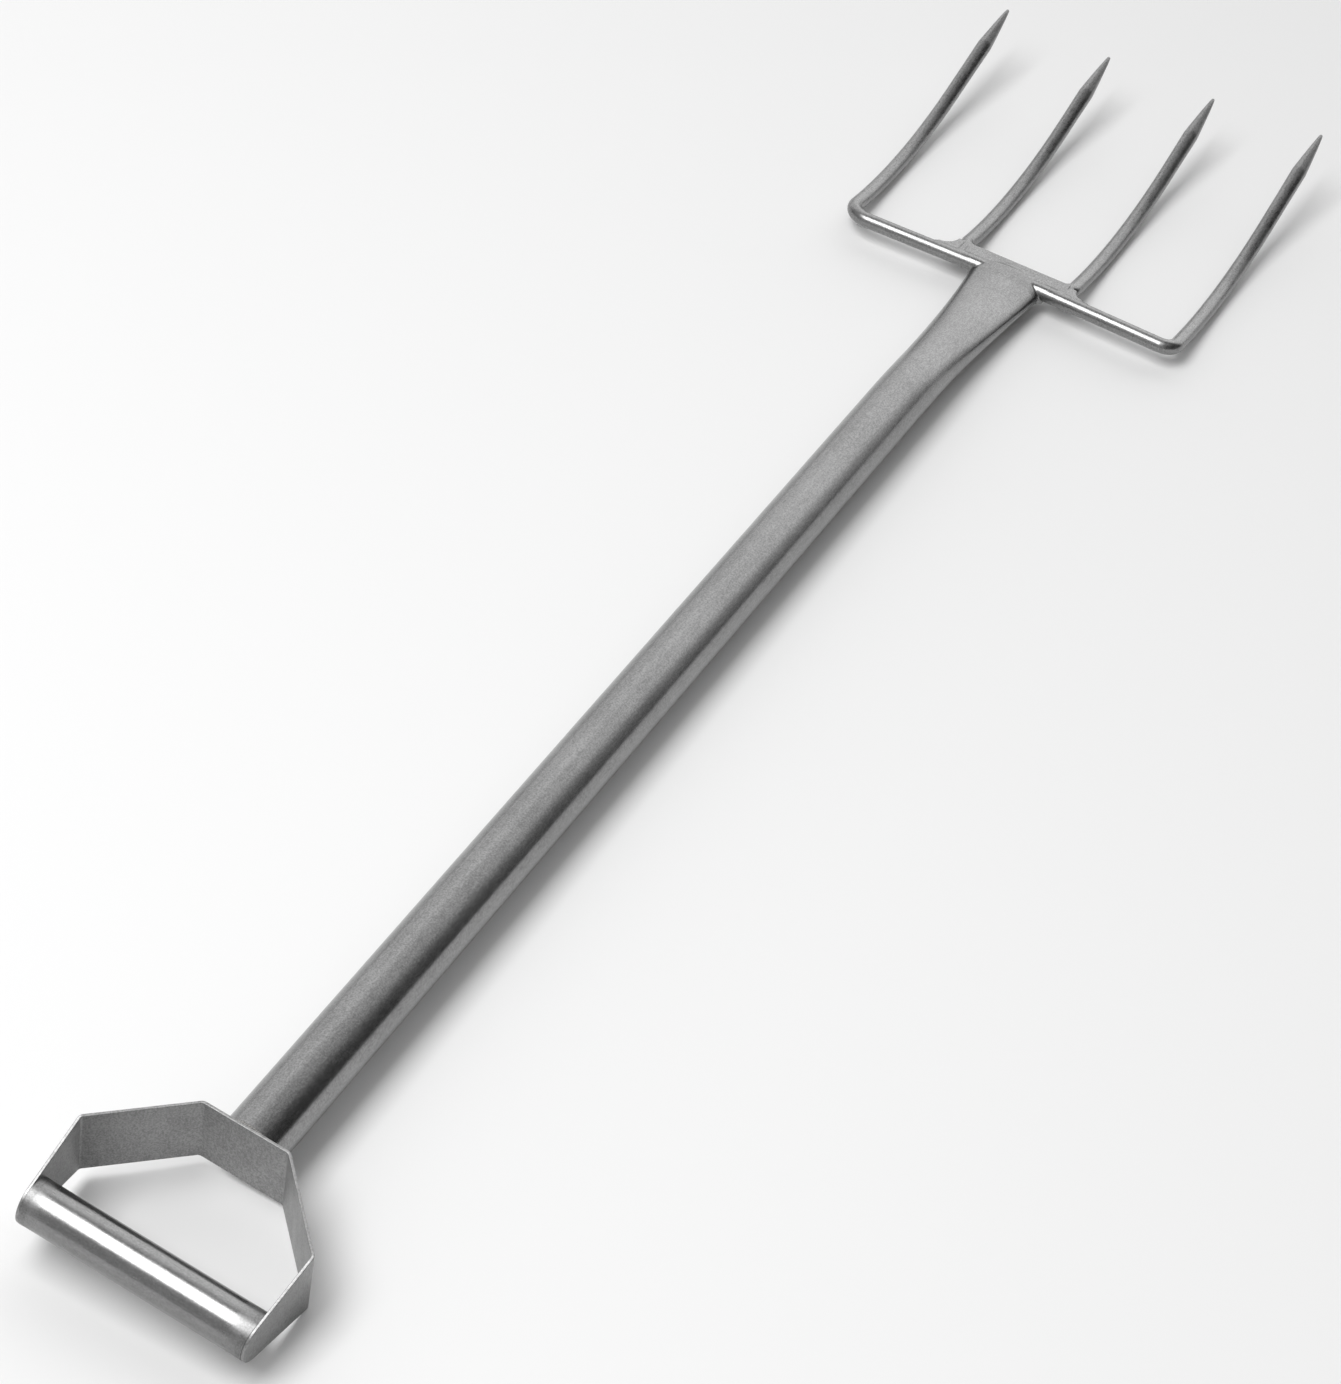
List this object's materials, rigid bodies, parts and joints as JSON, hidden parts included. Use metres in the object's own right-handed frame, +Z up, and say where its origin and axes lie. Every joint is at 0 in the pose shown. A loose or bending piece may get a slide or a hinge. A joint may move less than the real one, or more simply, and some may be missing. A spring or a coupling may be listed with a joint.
{
  "type": "long-handled garden fork",
  "caption": "Long steel garden fork: a round tube grip in a folded flat strip, a straight tubular shaft with a flattened end, and curved pointed tines bent from round rod.",
  "frame": {"origin": "middle of the base of the bounding box, on the surface the fork lies on", "axes": "+Y along the shaft from the grip to the tine points, +Z up as the fork lies with the tines curving upward, +X across to the right"},
  "size_m": [0.2384, 1.1338, 0.0526],
  "materials": {
    "strip_steel": "matte ground stainless strip",
    "tube_steel": "satin drawn stainless tube",
    "shaft_steel": "satin stainless tube, ground where it is flattened",
    "rod_steel": "satin stainless rod with ground points",
    "weld_steel": "ground weld metal"
  },
  "bodies": {
    "root": {"grip_bracket": "strip_steel", "grip_tube": "tube_steel", "shaft": "shaft_steel", "outer_tine_rod": "rod_steel", "inner_tine_rod": "rod_steel", "weld_grip_left": "weld_steel", "weld_grip_right": "weld_steel", "weld_shaft_to_bracket": "weld_steel", "weld_shaft_top": "weld_steel", "weld_shaft_under": "weld_steel", "weld_shaft_left": "weld_steel", "weld_shaft_right": "weld_steel", "weld_rods_top": "weld_steel", "weld_rods_under": "weld_steel", "weld_root_left": "weld_steel", "weld_root_right": "weld_steel"}
  },
  "joints": []
}
